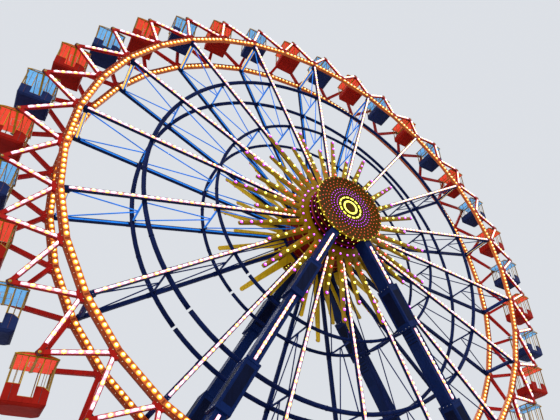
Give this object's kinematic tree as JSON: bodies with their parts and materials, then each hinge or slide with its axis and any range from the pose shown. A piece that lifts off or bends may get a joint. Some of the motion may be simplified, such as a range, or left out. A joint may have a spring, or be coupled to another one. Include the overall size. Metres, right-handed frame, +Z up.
{
  "type": "ferris wheel, 1:2 scale model",
  "caption": "Tall open-framed ferris wheel on slanted legs, with a sunburst hub, K-braced spokes and small open cabins that stay level as it turns.",
  "frame": {"origin": "on the ground, midway between the four feet and below the hub", "axes": "+Z up, the front looks along -Y, the wheel turns about Y"},
  "size_m": [22.776, 3.75, 24.2932],
  "materials": {
    "rim_red": "gloss paint",
    "frame_navy": "gloss paint",
    "bracing_blue": "gloss paint",
    "gold": "satin metallic paint",
    "drum_maroon": "gloss paint",
    "shaft_steel": "turned",
    "cabin_blue": "gloss paint",
    "cabin_red": "gloss paint"
  },
  "bodies": {
    "supports": {"front_drum": "drum_maroon", "rear_drum": "drum_maroon", "front_disc": "gold", "rear_disc": "gold", "front_leg_left": "frame_navy", "front_leg_right": "frame_navy", "rear_leg_left": "frame_navy", "rear_leg_right": "frame_navy"},
    "wheel": {"front_rim": "rim_red", "rear_rim": "rim_red", "front_spokes": "frame_navy", "rear_spokes": "frame_navy", "front_outer_hoop": "frame_navy", "rear_outer_hoop": "frame_navy", "front_inner_hoop": "frame_navy", "rear_inner_hoop": "frame_navy", "hub_and_bracing": "bracing_blue", "front_sunburst": "gold", "rear_sunburst": "gold", "main_shaft": "shaft_steel"},
    "cabin_01": {"cabin_01": "cabin_blue"},
    "cabin_02": {"cabin_02": "cabin_red"},
    "cabin_03": {"cabin_03": "cabin_blue"},
    "cabin_04": {"cabin_04": "cabin_red"},
    "cabin_05": {"cabin_05": "cabin_blue"},
    "cabin_06": {"cabin_06": "cabin_red"},
    "cabin_07": {"cabin_07": "cabin_blue"},
    "cabin_08": {"cabin_08": "cabin_red"},
    "cabin_09": {"cabin_09": "cabin_blue"},
    "cabin_10": {"cabin_10": "cabin_red"},
    "cabin_11": {"cabin_11": "cabin_blue"},
    "cabin_12": {"cabin_12": "cabin_red"},
    "cabin_13": {"cabin_13": "cabin_blue"},
    "cabin_14": {"cabin_14": "cabin_red"},
    "cabin_15": {"cabin_15": "cabin_blue"},
    "cabin_16": {"cabin_16": "cabin_red"},
    "cabin_17": {"cabin_17": "cabin_blue"},
    "cabin_18": {"cabin_18": "cabin_red"},
    "cabin_19": {"cabin_19": "cabin_blue"},
    "cabin_20": {"cabin_20": "cabin_red"},
    "cabin_21": {"cabin_21": "cabin_blue"},
    "cabin_22": {"cabin_22": "cabin_red"},
    "cabin_23": {"cabin_23": "cabin_blue"},
    "cabin_24": {"cabin_24": "cabin_red"},
    "cabin_25": {"cabin_25": "cabin_blue"},
    "cabin_26": {"cabin_26": "cabin_red"},
    "cabin_27": {"cabin_27": "cabin_blue"},
    "cabin_28": {"cabin_28": "cabin_red"},
    "cabin_29": {"cabin_29": "cabin_blue"},
    "cabin_30": {"cabin_30": "cabin_red"},
    "cabin_31": {"cabin_31": "cabin_blue"},
    "cabin_32": {"cabin_32": "cabin_red"},
    "cabin_33": {"cabin_33": "cabin_blue"},
    "cabin_34": {"cabin_34": "cabin_red"},
    "cabin_35": {"cabin_35": "cabin_blue"},
    "cabin_36": {"cabin_36": "cabin_red"}
  },
  "joints": [
    {"name": "wheel_spin", "type": "hinge", "parent": "supports", "child": "wheel", "pos_m": [0, 0, 13.3], "axis": [0, 1, 0], "continuous": true},
    {"name": "cabin_01_pivot", "type": "hinge", "parent": "wheel", "child": "cabin_01", "pos_m": [10.76602, 0, 15.08809], "axis": [0, 1, 0], "continuous": true},
    {"name": "cabin_02_pivot", "type": "hinge", "parent": "wheel", "child": "cabin_02", "pos_m": [10.29196, 0, 16.93043], "axis": [0, 1, 0], "continuous": true},
    {"name": "cabin_03_pivot", "type": "hinge", "parent": "wheel", "child": "cabin_03", "pos_m": [9.50519, 0, 18.66246], "axis": [0, 1, 0], "continuous": true},
    {"name": "cabin_04_pivot", "type": "hinge", "parent": "wheel", "child": "cabin_04", "pos_m": [8.4296, 0, 20.23155], "axis": [0, 1, 0], "continuous": true},
    {"name": "cabin_05_pivot", "type": "hinge", "parent": "wheel", "child": "cabin_05", "pos_m": [7.09788, 0, 21.59003], "axis": [0, 1, 0], "continuous": true},
    {"name": "cabin_06_pivot", "type": "hinge", "parent": "wheel", "child": "cabin_06", "pos_m": [5.5505, 0, 22.69662], "axis": [0, 1, 0], "continuous": true},
    {"name": "cabin_07_pivot", "type": "hinge", "parent": "wheel", "child": "cabin_07", "pos_m": [3.83447, 0, 23.51769], "axis": [0, 1, 0], "continuous": true},
    {"name": "cabin_08_pivot", "type": "hinge", "parent": "wheel", "child": "cabin_08", "pos_m": [2.00194, 0, 24.02831], "axis": [0, 1, 0], "continuous": true},
    {"name": "cabin_09_pivot", "type": "hinge", "parent": "wheel", "child": "cabin_09", "pos_m": [0.10857, 0, 24.21296], "axis": [0, 1, 0], "continuous": true},
    {"name": "cabin_10_pivot", "type": "hinge", "parent": "wheel", "child": "cabin_10", "pos_m": [-1.78809, 0, 24.06602], "axis": [0, 1, 0], "continuous": true},
    {"name": "cabin_11_pivot", "type": "hinge", "parent": "wheel", "child": "cabin_11", "pos_m": [-3.63043, 0, 23.59196], "axis": [0, 1, 0], "continuous": true},
    {"name": "cabin_12_pivot", "type": "hinge", "parent": "wheel", "child": "cabin_12", "pos_m": [-5.36246, 0, 22.80519], "axis": [0, 1, 0], "continuous": true},
    {"name": "cabin_13_pivot", "type": "hinge", "parent": "wheel", "child": "cabin_13", "pos_m": [-6.93155, 0, 21.7296], "axis": [0, 1, 0], "continuous": true},
    {"name": "cabin_14_pivot", "type": "hinge", "parent": "wheel", "child": "cabin_14", "pos_m": [-8.29002, 0, 20.39788], "axis": [0, 1, 0], "continuous": true},
    {"name": "cabin_15_pivot", "type": "hinge", "parent": "wheel", "child": "cabin_15", "pos_m": [-9.39662, 0, 18.8505], "axis": [0, 1, 0], "continuous": true},
    {"name": "cabin_16_pivot", "type": "hinge", "parent": "wheel", "child": "cabin_16", "pos_m": [-10.2177, 0, 17.13447], "axis": [0, 1, 0], "continuous": true},
    {"name": "cabin_17_pivot", "type": "hinge", "parent": "wheel", "child": "cabin_17", "pos_m": [-10.72832, 0, 15.30194], "axis": [0, 1, 0], "continuous": true},
    {"name": "cabin_18_pivot", "type": "hinge", "parent": "wheel", "child": "cabin_18", "pos_m": [-10.91296, 0, 13.40857], "axis": [0, 1, 0], "continuous": true},
    {"name": "cabin_19_pivot", "type": "hinge", "parent": "wheel", "child": "cabin_19", "pos_m": [-10.76602, 0, 11.51191], "axis": [0, 1, 0], "continuous": true},
    {"name": "cabin_20_pivot", "type": "hinge", "parent": "wheel", "child": "cabin_20", "pos_m": [-10.29196, 0, 9.66957], "axis": [0, 1, 0], "continuous": true},
    {"name": "cabin_21_pivot", "type": "hinge", "parent": "wheel", "child": "cabin_21", "pos_m": [-9.50519, 0, 7.93754], "axis": [0, 1, 0], "continuous": true},
    {"name": "cabin_22_pivot", "type": "hinge", "parent": "wheel", "child": "cabin_22", "pos_m": [-8.4296, 0, 6.36845], "axis": [0, 1, 0], "continuous": true},
    {"name": "cabin_23_pivot", "type": "hinge", "parent": "wheel", "child": "cabin_23", "pos_m": [-7.09788, 0, 5.00997], "axis": [0, 1, 0], "continuous": true},
    {"name": "cabin_24_pivot", "type": "hinge", "parent": "wheel", "child": "cabin_24", "pos_m": [-5.5505, 0, 3.90338], "axis": [0, 1, 0], "continuous": true},
    {"name": "cabin_25_pivot", "type": "hinge", "parent": "wheel", "child": "cabin_25", "pos_m": [-3.83447, 0, 3.0823], "axis": [0, 1, 0], "continuous": true},
    {"name": "cabin_26_pivot", "type": "hinge", "parent": "wheel", "child": "cabin_26", "pos_m": [-2.00194, 0, 2.57168], "axis": [0, 1, 0], "continuous": true},
    {"name": "cabin_27_pivot", "type": "hinge", "parent": "wheel", "child": "cabin_27", "pos_m": [-0.10857, 0, 2.38704], "axis": [0, 1, 0], "continuous": true},
    {"name": "cabin_28_pivot", "type": "hinge", "parent": "wheel", "child": "cabin_28", "pos_m": [1.78809, 0, 2.53398], "axis": [0, 1, 0], "continuous": true},
    {"name": "cabin_29_pivot", "type": "hinge", "parent": "wheel", "child": "cabin_29", "pos_m": [3.63043, 0, 3.00804], "axis": [0, 1, 0], "continuous": true},
    {"name": "cabin_30_pivot", "type": "hinge", "parent": "wheel", "child": "cabin_30", "pos_m": [5.36246, 0, 3.79481], "axis": [0, 1, 0], "continuous": true},
    {"name": "cabin_31_pivot", "type": "hinge", "parent": "wheel", "child": "cabin_31", "pos_m": [6.93155, 0, 4.8704], "axis": [0, 1, 0], "continuous": true},
    {"name": "cabin_32_pivot", "type": "hinge", "parent": "wheel", "child": "cabin_32", "pos_m": [8.29002, 0, 6.20212], "axis": [0, 1, 0], "continuous": true},
    {"name": "cabin_33_pivot", "type": "hinge", "parent": "wheel", "child": "cabin_33", "pos_m": [9.39662, 0, 7.7495], "axis": [0, 1, 0], "continuous": true},
    {"name": "cabin_34_pivot", "type": "hinge", "parent": "wheel", "child": "cabin_34", "pos_m": [10.2177, 0, 9.46553], "axis": [0, 1, 0], "continuous": true},
    {"name": "cabin_35_pivot", "type": "hinge", "parent": "wheel", "child": "cabin_35", "pos_m": [10.72832, 0, 11.29806], "axis": [0, 1, 0], "continuous": true},
    {"name": "cabin_36_pivot", "type": "hinge", "parent": "wheel", "child": "cabin_36", "pos_m": [10.91296, 0, 13.19143], "axis": [0, 1, 0], "continuous": true}
  ],
  "couplings": [
    {"joint": "cabin_01_pivot", "follows": "wheel_spin", "ratio": -1},
    {"joint": "cabin_02_pivot", "follows": "wheel_spin", "ratio": -1},
    {"joint": "cabin_03_pivot", "follows": "wheel_spin", "ratio": -1},
    {"joint": "cabin_04_pivot", "follows": "wheel_spin", "ratio": -1},
    {"joint": "cabin_05_pivot", "follows": "wheel_spin", "ratio": -1},
    {"joint": "cabin_06_pivot", "follows": "wheel_spin", "ratio": -1},
    {"joint": "cabin_07_pivot", "follows": "wheel_spin", "ratio": -1},
    {"joint": "cabin_08_pivot", "follows": "wheel_spin", "ratio": -1},
    {"joint": "cabin_09_pivot", "follows": "wheel_spin", "ratio": -1},
    {"joint": "cabin_10_pivot", "follows": "wheel_spin", "ratio": -1},
    {"joint": "cabin_11_pivot", "follows": "wheel_spin", "ratio": -1},
    {"joint": "cabin_12_pivot", "follows": "wheel_spin", "ratio": -1},
    {"joint": "cabin_13_pivot", "follows": "wheel_spin", "ratio": -1},
    {"joint": "cabin_14_pivot", "follows": "wheel_spin", "ratio": -1},
    {"joint": "cabin_15_pivot", "follows": "wheel_spin", "ratio": -1},
    {"joint": "cabin_16_pivot", "follows": "wheel_spin", "ratio": -1},
    {"joint": "cabin_17_pivot", "follows": "wheel_spin", "ratio": -1},
    {"joint": "cabin_18_pivot", "follows": "wheel_spin", "ratio": -1},
    {"joint": "cabin_19_pivot", "follows": "wheel_spin", "ratio": -1},
    {"joint": "cabin_20_pivot", "follows": "wheel_spin", "ratio": -1},
    {"joint": "cabin_21_pivot", "follows": "wheel_spin", "ratio": -1},
    {"joint": "cabin_22_pivot", "follows": "wheel_spin", "ratio": -1},
    {"joint": "cabin_23_pivot", "follows": "wheel_spin", "ratio": -1},
    {"joint": "cabin_24_pivot", "follows": "wheel_spin", "ratio": -1},
    {"joint": "cabin_25_pivot", "follows": "wheel_spin", "ratio": -1},
    {"joint": "cabin_26_pivot", "follows": "wheel_spin", "ratio": -1},
    {"joint": "cabin_27_pivot", "follows": "wheel_spin", "ratio": -1},
    {"joint": "cabin_28_pivot", "follows": "wheel_spin", "ratio": -1},
    {"joint": "cabin_29_pivot", "follows": "wheel_spin", "ratio": -1},
    {"joint": "cabin_30_pivot", "follows": "wheel_spin", "ratio": -1},
    {"joint": "cabin_31_pivot", "follows": "wheel_spin", "ratio": -1},
    {"joint": "cabin_32_pivot", "follows": "wheel_spin", "ratio": -1},
    {"joint": "cabin_33_pivot", "follows": "wheel_spin", "ratio": -1},
    {"joint": "cabin_34_pivot", "follows": "wheel_spin", "ratio": -1},
    {"joint": "cabin_35_pivot", "follows": "wheel_spin", "ratio": -1},
    {"joint": "cabin_36_pivot", "follows": "wheel_spin", "ratio": -1}
  ]
}
